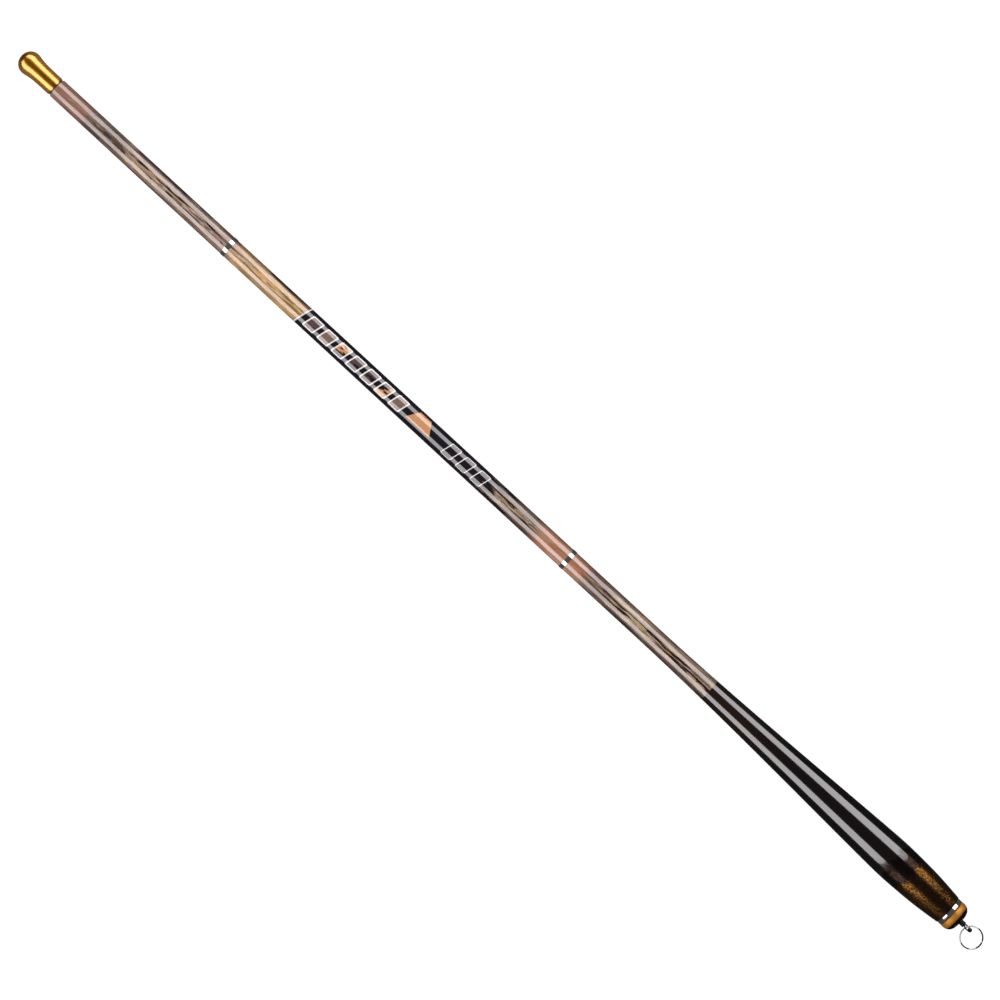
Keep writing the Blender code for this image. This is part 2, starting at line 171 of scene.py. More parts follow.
class MetalSettings(PropertyGroup):
    """Colours of the metal pieces."""

    silver: colour("Silver", "Bands and collar", 0.88, 0.88, 0.90)
    gold: colour("Gold", "Front plug", 0.87, 0.37, 0.014)
    orange_gold: colour("Orange gold", "Butt cap", 1.0, 0.44, 0.075)
    brass: colour("Brass", "Thread insert", 0.80, 0.57, 0.25)
    steel: colour("Steel", "Key ring and tip fitting", 0.85, 0.85, 0.87)
    dark_steel: colour("Dark steel", "Swivel", 0.05, 0.055, 0.05)
    # Painted shade: the colour of the key ring's darkened stretches.
    patina: colour("Painted ring shade", "Dark stretches of the key ring", 0.02, 0.02, 0.022)


class FittingSettings(PropertyGroup):
    """Sizes of the fittings."""

    thread_pitch: length("Thread pitch", "Distance from one crest of the butt thread to the next", 1.25)
    thread_depth: length("Thread depth", "Depth of the butt thread", 0.55)
    ring_outer: length("Key ring", "Outer diameter of the key ring", 14.6)
    ring_wire: length("Key ring wire", "Radius of the key ring's wire", 0.42)
    ring_gap: length("Key ring gap", "Gap between the key ring's two turns", 0.12)
    eye_wire: length("Swivel wire", "Radius of the swivel eye's wire", 0.45)
    tip_wire: length("Tip eye wire", "Radius of the tip eye's wire", 0.35)


class StudioSettings(PropertyGroup):
    """Camera and lamps."""

    camera_height: length("Camera height", "Height of the camera above the floor", 2411.0)
    lens: FloatProperty(name="Lens", description="Focal length", default=144.0, min=1.0, unit="CAMERA")
    box_power: FloatProperty(
        name="Soft box power",
        description="Power of a soft box one metre wide",
        default=21.82,
        min=0.0,
        unit="POWER",
    )
    box_start: length("Soft box start", "Where the soft boxes start, behind the middle of the rod", 450.0)
    surround: colour("Surround", "Dark surround that gloss shows", 0.034, 0.027, 0.028)
    card_rear: colour("Card", "Card under the rod that gloss shows", 0.02, 0.02, 0.022)
    card_front: colour("Card under the plug", "Paler part of the card, under the plug", 0.2, 0.18, 0.15)


# Shader nodes


class Signal:
    """What a node gives out. It is reckoned with as a number or a vector is, and each step adds a node."""

    def __init__(self, nodes, socket):
        self.nodes = nodes
        self.socket = socket

    def maths(self, operation, *others):
        return self.nodes.maths(operation, self, *others)

    def __add__(self, other):
        return self.maths("ADD", other)

    def __mul__(self, other):
        return self.maths("MULTIPLY", other)

    def __sub__(self, other):
        return self.maths("SUBTRACT", other)

    def __rsub__(self, other):
        return self.nodes.maths("SUBTRACT", other, self)

    def __truediv__(self, other):
        return self.maths("DIVIDE", other)

    def __rtruediv__(self, other):
        return self.nodes.maths("DIVIDE", other, self)

    def __abs__(self):
        return self.maths("ABSOLUTE")

    def at_least(self, other):
        return self.maths("MAXIMUM", other)

    def parts(self):
        """The X, Y and Z of a vector."""
        outputs = self.nodes.add("ShaderNodeSeparateXYZ", {"Vector": self}).outputs
        return [Signal(self.nodes, output) for output in outputs]

    def rise(self, start, end, low=0.0, high=1.0):
        """Goes smoothly from low to high while the signal goes from start to end."""
        ranges = {"Value": self, "From Min": start, "From Max": end, "To Min": low, "To Max": high}
        return self.nodes.made("ShaderNodeMapRange", "Result", ranges, interpolation_type="SMOOTHSTEP")

    def noise(self, detail=2.0, roughness=0.5, distortion=0.0):
        inputs = {"Vector": self, "Scale": 1.0, "Detail": detail, "Roughness": roughness}
        return self.nodes.made("ShaderNodeTexNoise", "Fac", inputs | {"Distortion": distortion})

    def ramp(self, stops):
        """A colour ramp through (position, colour) stops."""
        node = self.nodes.add("ShaderNodeValToRGB", {"Fac": self})
        elements = node.color_ramp.elements
        elements[0].position, elements[1].position = stops[0][0], stops[-1][0]
        for position, _ in stops[1:-1]:
            elements.new(position)
        for element, (_, shade) in zip(elements, stops):
            element.color = (*shade, 1.0)
        return Signal(self.nodes, node.outputs["Color"])

    def stretches(self, stops):
        """Colours or numbers that change along the rod, at distances in millimetres."""
        shades = [(value,) * 3 if isinstance(value, float) else value for _, value in stops]
        places = [at / PRINT_END for at, _ in stops]
        return (self / PRINT_END).ramp(list(zip(places, shades)))


class Nodes:
    """Short calls that add nodes to one tree, column by column."""

    def __init__(self, tree, count=0):
        self.tree = tree
        self.count = count

    def add(self, kind, inputs=(), **settings):
        node = self.tree.nodes.new(kind)
        node.location = (220 * (self.count // 4), -200 * (self.count % 4))
        self.count += 1
        for name, value in settings.items():
            setattr(node, name, value)
        self.fill(node.inputs, dict(inputs))
        return node

    def made(self, kind, output, inputs=(), **settings):
        """Adds a node, and gives one of its outputs."""
        return Signal(self, self.add(kind, inputs, **settings).outputs[output])

    def fill(self, sockets, values):
        """Links sockets to signals, or sets their own values."""
        for name, value in values.items():
            socket = sockets[name]
            if isinstance(value, Signal):
                self.tree.links.new(value.socket, socket)
            elif socket.type == "RGBA":
                socket.default_value = (*value, 1.0)
            else:
                socket.default_value = value

    def maths(self, operation, *values):
        """Numbers reckoned with, or vectors part by part. A colour is taken as a number next to a number."""
        types = {value.socket.type for value in values if isinstance(value, Signal)}
        kind = "ShaderNodeVectorMath" if "VECTOR" in types or types == {"RGBA"} else "ShaderNodeMath"
        return self.made(kind, 0, enumerate(values), operation=operation)

    def point(self, x, y, z):
        return self.made("ShaderNodeCombineXYZ", "Vector", {"X": x, "Y": y, "Z": z})

    def mix(self, factor, first, second, blend="MIX"):
        """Two colours mixed."""
        inputs = {0: factor, 6: first, 7: second}
        return self.made("ShaderNodeMix", 2, inputs, data_type="RGBA", blend_type=blend)

    def between(self, factor, first, second):
        """Two numbers mixed."""
        return self.made("ShaderNodeMix", 0, {0: factor, 2: first, 3: second})

    def bump(self, height):
        """The normal of a surface raised by that height, in millimetres."""
        return self.made("ShaderNodeBump", "Normal", {"Height": height * MM, "Distance": 1.0})

    def shared(self, build, **inputs):
        """Places a shared group, and builds it on its first use. Returns its outputs by name."""
        name = build.__name__.replace("_", " ")
        tree = bpy.data.node_groups.get(name) or new_group(name, build, inputs)
        named = {key.title(): value for key, value in inputs.items()}
        node = self.add("ShaderNodeGroup", named, node_tree=tree)
        return {output.name.lower(): Signal(self, output) for output in node.outputs}


def new_group(name, build, inputs):
    """A node group from a function that takes its inputs by name and returns its outputs by name."""
    tree = bpy.data.node_groups.new(name, "ShaderNodeTree")
    nodes = Nodes(tree)
    for key, value in inputs.items():
        in_parts = isinstance(value, tuple) or (isinstance(value, Signal) and value.socket.type == "VECTOR")
        kind = "NodeSocketVector" if in_parts else "NodeSocketFloat"
        tree.interface.new_socket(key.title(), in_out="INPUT", socket_type=kind)
    start = nodes.add("NodeGroupInput").outputs
    outputs = build(**{key: Signal(nodes, start[key.title()]) for key in inputs})
    for key, signal in outputs.items():
        kind = "NodeSocketVector" if signal.socket.type == "VECTOR" else "NodeSocketFloat"
        tree.interface.new_socket(key.title(), in_out="OUTPUT", socket_type=kind)
    end = nodes.add("NodeGroupOutput").inputs
    nodes.fill(end, {key.title(): signal for key, signal in outputs.items()})
    return tree


# Shared effects, worked out in millimetres


def rod_place(room):
    """Millimetres on the rod in place of metres in the room, and the turn round it from its top."""
    lay = {"Vector": room, "Location": CAP_FACE, "Rotation": (0.0, LEAN, 0.0), "Scale": (MM, MM, MM)}
    place = room.nodes.made("ShaderNodeMapping", "Vector", lay, vector_type="TEXTURE")
    along, across, up = place.parts()
    return {"place": place, "along": along, "turn": across.maths("ARCTAN2", up)}


def mottle(place, long, wide, seed):
    """Cloudy variation from 0 to 1, stretched along the rod."""
    moved = place / place.nodes.point(long, wide, wide) + place.nodes.point(0.0, seed, 0.0)
    return {"value": moved.noise(3.0, 0.55).rise(0.25, 0.75)}


def clouds(place, long, wide, seed):
    """The clouds of the shared mottle."""
    return place.nodes.shared(mottle, place=place, long=long, wide=wide, seed=seed)["value"]


def veins(place, turn, count, long, sway, line, seed):
    """Wavy strokes that run along the rod, a whole number of them round it, with a pale rim beside each."""
    spacing = 2.0 * math.pi * TUBE_RADIUS / count
    moved = place / place.nodes.point(long, spacing, spacing) + place.nodes.point(0.0, seed, 0.0)
    wander = (moved.noise(2.0, 0.55) - 0.5) * sway
    step = (turn / (2.0 * math.pi) * count + wander).maths("FRACT")
    away = abs(step - 0.5) * spacing
    swell = (moved + (31.0, 17.0, 5.0)).noise(1.0)
    thick = line * swell.rise(0.36, 0.6, 0.12, 1.4)
    beside = abs(away - thick * 1.5)
    return {"lines": away.rise(thick, thick * 0.4), "rims": beside.rise(thick * 0.6, thick * 0.2)}


def slanted_row(place, turn, start, pitch, count, long, high, slant, line):
    """A row of slanted panels with rounded corners: inside, outline, and each panel's own random number."""
    along, across, _ = place.parts()
    steps = (along - across * slant - start) / pitch
    number = steps.maths("FLOOR")
    in_row = number.maths("GREATER_THAN", -0.5) * number.maths("LESS_THAN", count - 0.5)
    over_end = abs((steps - number - 0.5) * pitch) - (long * 0.5 - PANEL_CORNER)
    over_side = abs(turn * TUBE_RADIUS) - (high * 0.5 - PANEL_CORNER)
    beyond_end, beyond_side = over_end.at_least(0.0), over_side.at_least(0.0)
    outside = (beyond_end * beyond_end + beyond_side * beyond_side).maths("SQRT")
    edge = outside + over_end.at_least(over_side).maths("MINIMUM", 0.0) - PANEL_CORNER
    whole = edge.rise(0.06, -0.06) * in_row
    core = (edge + line).rise(0.06, -0.06)
    tone = place.nodes.made("ShaderNodeTexWhiteNoise", "Value", {"W": number}, noise_dimensions="1D")
    return {"inside": whole * core, "outline": whole * (1.0 - core), "number": tone}


def metal_flakes(place, size, lean):
    """Small flat flakes in paint, each with its own brightness and lean."""
    cells = place.nodes.made("ShaderNodeTexVoronoi", "Color", {"Vector": place, "Scale": 1.0 / size})
    facing = place.nodes.made("ShaderNodeNewGeometry", "Normal")
    leaning = facing + (cells - (0.5, 0.5, 0.5)) * lean
    return {"brightness": cells.parts()[0], "normal": leaning.maths("NORMALIZE")}


def turned_marks(along, spacing, depth):
    """Fine rings left by a lathe, as a normal and as marks from 0 to 1."""
    inputs = {"W": along / spacing, "Scale": 1.0, "Detail": 3.0, "Roughness": 0.6}
    marks = along.nodes.made("ShaderNodeTexNoise", "Fac", inputs, noise_dimensions="1D")
    return {"marks": marks, "normal": along.nodes.bump(marks * depth)}


def hairlines(place, size):
    """Faint handling scratches and smudges, from 0 to 1."""
    fine = (place / size / (5.0, 0.5, 0.5)).noise(4.0, 0.6, 0.4).rise(0.55, 0.8)
    smudge = (place * (0.12, 0.2, 0.2)).noise().rise(0.35, 0.75)
    return {"value": (fine + smudge) * 0.5}


def wear(place, size):
    """The scratches and smudges of the shared hairlines."""
    return place.nodes.shared(hairlines, place=place, size=size)["value"]


# Finishes


def new_material(name, values=()):
    """A material whose shader has those values. Returns it, its nodes, the shader's inputs and rod_place."""
    material = bpy.data.materials.new(name)
    material.use_nodes = True
    nodes = Nodes(material.node_tree, count=4)
    shader = material.node_tree.nodes["Principled BSDF"].inputs
    nodes.fill(shader, dict(values))
    where = nodes.shared(rod_place, room=nodes.made("ShaderNodeTexCoord", "Object"))
    return material, nodes, shader, where


def ground(nodes, look, place, along):
    """The print's ground: its colours from the handle to the mouth, clouded in layers."""
    grounds = [(200, look.tan), (283, look.tan), (289, look.lilac), (303, look.lilac), (309, look.copper)]
    grounds += [(341, look.copper), (350, look.grey_brown), (530, look.grey_brown), (538, look.cream)]
    grounds += [(588, look.cream), (597, look.brown), (674, look.brown), (688, look.slate), (708, look.slate)]
    grounds += [(716, look.pink_brown), (740, look.pink_brown)]
    shade = along.stretches(grounds)
    layers = [
        (26.0, 3.2, 4.0, [(0.0, (0.76, 0.74, 0.76)), (1.0, (1.22, 1.2, 1.18))]),
        (7.0, 0.7, 9.0, [(0.0, (0.9, 0.9, 0.9)), (1.0, (1.1, 1.1, 1.1))]),
        (9.0, 2.2, 17.0, [(0.0, (1.08, 0.94, 1.04)), (0.5, (1.0, 1.0, 1.0)), (1.0, (0.98, 1.06, 0.84))]),
    ]
    for long, wide, seed, tints in layers:
        shade = nodes.mix(1.0, shade, clouds(place, long, wide, seed).ramp(tints), "MULTIPLY")
    return nodes.mix(clouds(place, 34.0, 4.0, 15.0).rise(0.45, 0.9) * 0.2, shade, look.pale)


def marbling(nodes, look, place, along, turn):
    """The marbled print: ground, islands and veins, painted fainter where highlights fall, and painted shade
    on the flanks.
    """
    shade = ground(nodes, look, place, along)
    gold = [(200, 0.8), (284, 0.7), (296, 0.2), (306, 0.1), (343, 0.1), (352, 0.5), (536, 0.8), (590, 0.75)]
    gold += [(600, 0.5), (670, 0.45), (700, 0.2), (716, 0.1), (740, 0.1)]
    dark = [(200, 1.0), (284, 1.0), (306, 0.3), (343, 0.2), (352, 1.0), (536, 0.6), (590, 0.7), (600, 1.0)]
    dark += [(670, 1.0), (700, 0.6), (716, 0.25), (740, 0.2)]
    sideways = abs(turn)
    # Painted highlight: the islands and veins are painted fainter in the two bands where the soft boxes
    # reflect, and stronger again towards the flanks.
    painted_highlight_fade = sideways.rise(0.24, 0.36, 1.0, 0.45) + sideways.rise(1.0, 1.3, 0.0, 0.4)
    gilding_with_highlight_fade = along.stretches(gold) * painted_highlight_fade
    depth = along.stretches(dark) * painted_highlight_fade
    islands = [(41.0, 0.48, 0.64, gilding_with_highlight_fade, look.gold_patch), (43.0, 0.6, 0.9, depth, look.brown)]
    for seed, low, high, strength, patch in islands:
        shade = nodes.mix(clouds(place, 8.0, 2.8, seed).rise(low, high) * strength * 0.8, shade, patch)

    row = {"place": place, "turn": turn}
    broad = nodes.shared(veins, **row, count=12.0, long=25.0, sway=3.4, line=1.3, seed=2.1)
    fine = nodes.shared(veins, **row, count=17.0, long=15.0, sway=3.0, line=0.6, seed=6.1)
    shade = nodes.mix(broad["rims"].at_least(fine["rims"]) * depth * 0.3, shade, look.pale)
    shade = nodes.mix(broad["lines"].at_least(fine["lines"] * 0.6) * depth, shade, look.vein)

    # Painted shade: both flanks are darkened towards the floor, more over some stretches along the rod than
    # others, and in patches.
    upper = [(200, 0.5), (284, 0.45), (290, 0.2), (304, 0.2), (308, 0.45), (343, 0.45), (355, 0.8)]
    upper += [(392, 0.8), (536, 0.95), (566, 0.95), (570, 0.7), (630, 0.65), (634, 1.0), (674, 1.0)]
    upper += [(678, 0.2), (740, 0.35)]
    lower = [(200, 0.9), (284, 0.9), (290, 0.25), (304, 0.25), (308, 0.05), (341, 0.05), (350, 0.85)]
    lower += [(392, 0.85), (536, 0.25), (590, 0.25), (597, 0.5), (640, 0.5), (700, 0.2), (716, 0.4)]
    lower += [(740, 0.45)]
    patches = clouds(place, 18.0, 5.0, 27.0)
    for side, strengths in ((-1.0, upper), (1.0, lower)):
        past = turn * side
        down = past.rise(0.72, 0.92) * past.rise(1.25, 1.7, 1.0, 0.35)
        painted_shade = along.stretches(strengths) + (patches * 0.5 - 0.25)
        shade = nodes.mix(down * painted_shade, shade, look.flank)
    return shade


def black_stretch(nodes, look, place, along, turn, shade):
    """The black stretch with its slanted edge, panels and wedge, over a colour. Returns it and its mask."""
    slanted = along - place.parts()[1] * PANEL_SLANT
    rear_edge = clouds(place, 20.0, 3.0, 12.0) * 34.0 + along
    dark = rear_edge.rise(394, 397) * slanted.rise(536.1, 535.9)
    shade = nodes.mix(dark, shade, look.black)
    edge = slanted.rise(535.5, 535.7) * slanted.rise(536.7, 536.5) * 0.8
    shade = nodes.mix(edge, shade, look.outline)

    row = {"place": place, "turn": turn, "slant": PANEL_SLANT}
    panels = {"start": 452.0, "pitch": 11.6, "count": 7.0, "long": 8.6, "high": 9.8, "line": 0.85}
    outlines = {"start": 385.5, "pitch": 11.8, "count": 3.0, "long": 7.6, "high": 10.0, "line": 0.55}
    bars = nodes.shared(slanted_row, **row, **panels)
    marks = nodes.shared(slanted_row, **row, **outlines)
    tones = [(0.0, look.orange), (0.33, look.orange), (0.36, look.grey_brown), (0.62, look.grey_brown)]
    tones += [(0.66, look.slate), (1.0, look.slate)]
    smoke = clouds(place, 16.0, 5.0, 21.0).rise(0.4, 0.52)
    shade = nodes.mix(bars["inside"], shade, nodes.mix(smoke, look.black, bars["number"].ramp(tones)))
    shade = nodes.mix(bars["outline"].at_least(marks["outline"]), shade, look.outline)

    over = turn * TUBE_RADIUS
    ends = (over * 0.6 + WEDGE_HALF - abs(along - WEDGE_MIDDLE)).rise(-0.15, 0.15)
    wedge = ends * over.rise(-6.0, -5.6) * over.rise(3.2, 2.8)
    return nodes.mix(wedge, shade, look.orange), dark


def lacquered_print(name):
    """Marbled print with a black stretch, black handle and metal flakes, all under one clear lacquer."""
    look = bpy.context.scene.hand_rod_print
    lacquer = {"Specular IOR Level": 1.0, "IOR": 1.5, "Specular Tint": (1.0, 0.93, 0.99)}
    lacquer |= {"Coat Roughness": 0.05, "Coat IOR": 1.8}
    material, nodes, shader, where = new_material(name, lacquer)
    place, along, turn = where["place"], where["along"], where["turn"]
    shade = marbling(nodes, look, place, along, turn)
    shade, dark = black_stretch(nodes, look, place, along, turn, shade)
    painted = along.rise(HANDLE_END + 0.2, HANDLE_END - 0.2)
    shade = nodes.mix(painted, shade, nodes.mix(along.rise(125.0, 200.0), look.handle, look.handle_brown))

    flakes = nodes.shared(metal_flakes, place=place, size=0.3, lean=(0.26, 0.02, 0.02))
    cloudy = clouds(place, 4.0, 3.0, 31.0)
    fade = cloudy * 6.0 + along
    bright, last = look.flake_end / MM, look.dull_end / MM
    zone = fade.rise(last + 4.0, last - 5.0)
    flake = zone * (cloudy * 0.35 + flakes["brightness"] * 0.45).rise(-0.25, 0.6)
    metal = nodes.mix(fade.rise(bright + 2.0, bright + 5.0), look.flake, look.dull_flake)
    grit = clouds(place, 1.7, 1.3, 35.0) * 0.7 + 0.6
    # Painted light and shade over the flakes' own grit: brighter towards +Y, darker towards -Y, and darker
    # along the top.
    grit_and_painted_light = turn.rise(-0.4, 0.4, 0.8, 1.25) * abs(turn).rise(0.15, 0.45, 0.45, 1.0) * grit
    flake_colour_and_painted_light = nodes.mix(grit_and_painted_light - flakes["brightness"] * 0.25, look.handle_brown, metal)

    facing = nodes.made("ShaderNodeNewGeometry", "Normal")
    normal = nodes.made("ShaderNodeMix", 1, {0: zone, 4: facing, 5: flakes["normal"]}, data_type="VECTOR")
    inputs = {"Base Color": nodes.mix(flake, shade, flake_colour_and_painted_light), "Metallic": flake.rise(0.0, 0.3)}
    inputs |= {"Coat Weight": nodes.between(painted.at_least(dark * 0.35), 0.7, 1.0), "Normal": normal}
    inputs |= {"Roughness": wear(place, 1.0) * 0.06 + nodes.between(flake, 0.13, 0.25)}
    nodes.fill(shader, inputs)
    return material


def turned_metal(name, shade, roughness, spacing, depth, marking=0.1, polished_and_painted_dark=0.0, metallic=1.0, values=()):
    """Metal from the lathe: fine rings, tarnish and faint scratches.

    Where a distance is given, the rim up to it is smoother and fully metallic, and painted shade darkens its
    colour to a quarter.
    """
    material, nodes, shader, where = new_material(name, {"Metallic": metallic, **dict(values)})
    rings = nodes.shared(turned_marks, along=where["along"], spacing=spacing, depth=depth)
    tarnish = clouds(where["place"], 3.0, 2.0, 3.0) * 0.5
    tone = nodes.mix(tarnish, shade, tuple(0.86 * part for part in shade))
    rough = wear(where["place"], 0.5) * 0.08 + rings["marks"] * marking + roughness
    if polished_and_painted_dark:
        # Painted shade: the rim's colour is darkened to a quarter, and it is also smoother and fully
        # metallic.
        past_rim = where["along"].rise(polished_and_painted_dark - 0.3, polished_and_painted_dark + 0.5)
        tone = nodes.mix(past_rim, tuple(0.25 * part for part in shade), tone)
        rough = nodes.between(past_rim, 0.12, rough)
        nodes.fill(shader, {"Metallic": nodes.between(past_rim, 1.0, metallic)})
    nodes.fill(shader, {"Base Color": tone, "Roughness": rough, "Normal": rings["normal"]})
    return material


def silver_plate(name):
    shade = bpy.context.scene.hand_rod_metal.silver
    lathe = {"spacing": 0.12, "depth": 0.0004, "marking": 0.05}
    return turned_metal(name, shade, roughness=0.06, metallic=0.95, **lathe)


def gold_anodising(name):
    clear = {"Coat Weight": 1.0, "Coat Roughness": 0.06, "Coat IOR": 2.0}
    shade = bpy.context.scene.hand_rod_metal.gold
    return turned_metal(name, shade, roughness=0.26, spacing=0.16, depth=0.0012, values=clear)


def orange_anodising(name):
    shade = bpy.context.scene.hand_rod_metal.orange_gold
    lathe = {"spacing": 0.25, "depth": 0.004, "marking": 0.15}
    # The cap's rim, smoother and with painted shade, reaches 3.1 mm from its face.
    return turned_metal(name, shade, roughness=0.42, polished_and_painted_dark=3.1, metallic=0.8, **lathe)


def turned_brass(name):
    shade = bpy.context.scene.hand_rod_metal.brass
    return turned_metal(name, shade, roughness=0.25, spacing=0.3, depth=0.003)


def bright_steel(name):
    shade = bpy.context.scene.hand_rod_metal.steel
    return turned_metal(name, shade, roughness=0.12, spacing=0.3, depth=0.001)


def dark_steel(name):
    shade = bpy.context.scene.hand_rod_metal.dark_steel
    return turned_metal(name, shade, roughness=0.25, spacing=0.2, depth=0.002)


def ring_steel(name):
    """Satin-plated steel wire, with painted shade on stretches of its round that are also smoother and fully
    metallic.
    """
    metal = bpy.context.scene.hand_rod_metal
    sizes = bpy.context.scene.hand_rod_fittings
    material, nodes, shader, where = new_material(name)
    radius = (sizes.ring_outer / 2 - sizes.ring_wire) / MM
    centre = (RING_HINGE - radius * math.cos(RING_YAW), -radius * math.sin(RING_YAW), 0.0)
    offset = (where["place"] - centre).parts()
    # Painted shade: darker stretches at set angles round the ring.
    stops = []
    for start, end in RING_PAINTED_DARK:
        stops += [(start - 5, 0.0), (start, 1.0), (end, 1.0), (end + 5, 0.0)]
    round_it = [((degrees + 180) / 360, (dark,) * 3) for degrees, dark in stops if -180 <= degrees <= 180]
    painted_shade = (offset[1].maths("ARCTAN2", offset[0]) * (0.5 / math.pi) + 0.5).ramp(round_it)
    rough = wear(where["place"], 0.5) * 0.12 + nodes.between(painted_shade, 0.45, 0.2)
    tone = nodes.mix(painted_shade, metal.steel, metal.patina)
    nodes.fill(shader, {"Base Color": tone, "Metallic": nodes.between(painted_shade, 0.55, 1.0), "Roughness": rough})
    return material


def wound_fibre(name):
    """Bare wound fibre: fine lengthwise strands under the faint spiral ridges left by the winding tape."""
    values = {"Specular IOR Level": 0.6, "Coat Weight": 0.4, "Coat Roughness": 0.15}
    material, nodes, shader, where = new_material(name, values)
    strands = clouds(where["place"], 40.0, 0.25, 5.0)
    spiral = (where["along"] / TAPE_PITCH + where["turn"] / (2.0 * math.pi)).maths("FRACT")
    height = abs(spiral - 0.5).rise(0.38, 0.5) + strands * 0.3
    inputs = {"Base Color": strands.ramp([(0.0, (0.012, 0.012, 0.014)), (1.0, (0.05, 0.05, 0.055))])}
    inputs |= {"Normal": nodes.bump(height * 0.012), "Roughness": wear(where["place"], 0.7) * 0.15 + 0.28}
    nodes.fill(shader, inputs)
    return material


def wrap_lacquer(name):
    """Dark thread wrap under lacquer at the second blank's mouth."""
    material, nodes, shader, where = new_material(name, {"Coat Weight": 1.0, "Coat Roughness": 0.08})
    rings = nodes.shared(turned_marks, along=where["along"], spacing=0.3, depth=0.01)
    shade = rings["marks"].ramp([(0.3, (0.02, 0.012, 0.008)), (0.7, (0.09, 0.04, 0.02))])
    inputs = {"Base Color": shade, "Normal": rings["normal"], "Roughness": rings["marks"] * 0.2 + 0.25}
    nodes.fill(shader, inputs)
    return material


def soft_finish(name, shade, roughness, grain, depth):
    """Rubber, plastic or foam: a fine pebbled surface with a little dust."""
    material, nodes, shader, where = new_material(name)
    pores = clouds(where["place"], grain, grain, 7.0)
    dust = clouds(where["place"], 2.5, 2.0, 8.0) * 0.6
    tone = nodes.mix(dust, shade, tuple(1.8 * part for part in shade))
    inputs = {"Base Color": tone, "Normal": nodes.bump(pores * depth), "Roughness": pores * 0.12 + roughness}
    nodes.fill(shader, inputs)
    return material


def moulded_plastic(name):
    return soft_finish(name, (0.022, 0.022, 0.024), roughness=0.38, grain=0.25, depth=0.006)


def smooth_rubber(name):
    return soft_finish(name, (0.014, 0.014, 0.014), roughness=0.55, grain=0.2, depth=0.006)


def cell_foam(name):
    return soft_finish(name, (0.05, 0.05, 0.055), roughness=0.82, grain=0.35, depth=0.06)


def finish(make):
    """The material that the function makes, made on its first use."""
    name = make.__name__.replace("_", " ")
    return bpy.data.materials.get(name) or make(name)


# Shapes


def smooth_through(stations, steps):
    """Points on a smooth curve through the stations, with so many steps from each to the next."""
    slopes = []
    for i in range(len(stations)):
        before = stations[max(i - 1, 0)]
        after = stations[min(i + 1, len(stations) - 1)]
        slopes.append((after[1] - before[1]) / (after[0] - before[0]))
    points = [stations[0]]
    for (x0, r0), (x1, r1), slope0, slope1 in zip(stations, stations[1:], slopes, slopes[1:]):
        span = x1 - x0
        for step in range(1, steps + 1):
            t = step / steps
            radius = (2 * t**3 - 3 * t**2 + 1) * r0 + (3 * t**2 - 2 * t**3) * r1
            radius += (t**3 - 2 * t**2 + t) * span * slope0 + (t**3 - t**2) * span * slope1
            points.append((x0 + span * t, radius))
    return points


def arc(centre, radii, start, end, steps):
    """Points on an elliptical arc from the start angle to the end angle, both in degrees from +X."""
    points = []
    for step in range(steps + 1):
        turn = math.radians(start + (end - start) * step / steps)
        points.append((centre[0] + radii[0] * math.cos(turn), centre[1] + radii[1] * math.sin(turn)))
    return points


def turned(outline, closed=True, longest=None, sides=SIDES):
    """A shape turned about X from an outline of (distance, radius) or (distance, radius, easing) points.

    Easing rounds a corner. Edges longer than longest are divided. All are in millimetres.
    """
    bm = bmesh.new()
    corners = [bm.verts.new((point[0] * MM, 0.0, point[1] * MM * FLATS)) for point in outline]
    for pair in zip(corners, corners[1:]):
        bm.edges.new(pair)
    if closed:
        bm.edges.new((corners[-1], corners[0]))
    eased = [(corner, point[2]) for corner, point in zip(corners, outline) if len(point) > 2]
    for corner, easing in eased:
        bmesh.ops.bevel(
            bm, geom=[corner], offset=easing * MM, segments=4, profile=0.5, affect="VERTICES", material=-1
        )
    if longest:
        for edge in bm.edges[:]:
            cuts = math.ceil(edge.calc_length() / (longest * MM)) - 1
            if cuts > 0:
                bmesh.ops.subdivide_edges(bm, edges=[edge], cuts=cuts)
    bmesh.ops.spin(
        bm,
        geom=bm.verts[:] + bm.edges[:],
        cent=(0.0, 0.0, 0.0),
        axis=(1.0, 0.0, 0.0),
        angle=2 * math.pi,
        steps=sides,
        use_merge=True,
    )
    close_up(bm)
    return bm


def close_up(bm):
    bmesh.ops.remove_doubles(bm, verts=bm.verts, dist=MERGE)
    bmesh.ops.recalc_face_normals(bm, faces=bm.faces)


def disc_outline(start, end, radius, ease, dome=0.0):
    """A solid disc's outline, with a slightly domed face at each end."""
    first = [(start - dome, 0.0), (start, radius * 0.6), (start, radius, ease)]
    return first + [(end, radius, ease), (end, radius * 0.6), (end + dome, 0.0)]


def cut_thread(bm, start, end, radius, depth, pitch, outward):
    """Moves the turned skin at that radius into a right-hand thread. Sizes are in millimetres."""
    for vert in bm.verts:
        x = vert.co.x / MM
        r = math.hypot(vert.co.y, vert.co.z) / MM
        if start <= x <= end and abs(r - radius * FLATS) < 0.02:
            phase = x / pitch - math.atan2(vert.co.z, vert.co.y) / (2 * math.pi)
            flank = 0.5 + 0.5 * math.cos(2 * math.pi * phase)
            flank = flank * flank * (3 - 2 * flank)
            fade = min(1.0, (x - start) / (1.2 * pitch), (end - x) / (0.8 * pitch))
            moved = 1 + (1 if outward else -1) * depth * flank * fade / r
            vert.co.y *= moved
            vert.co.z *= moved


def wire_end(bm, radius, sides, place):
    """A ring of edges round a wire whose end is at that place."""
    ring = bmesh.ops.create_circle(bm, segments=sides, radius=radius, matrix=place)
    verts = ring["verts"]
    return verts + list({edge for vert in verts for edge in vert.link_edges})


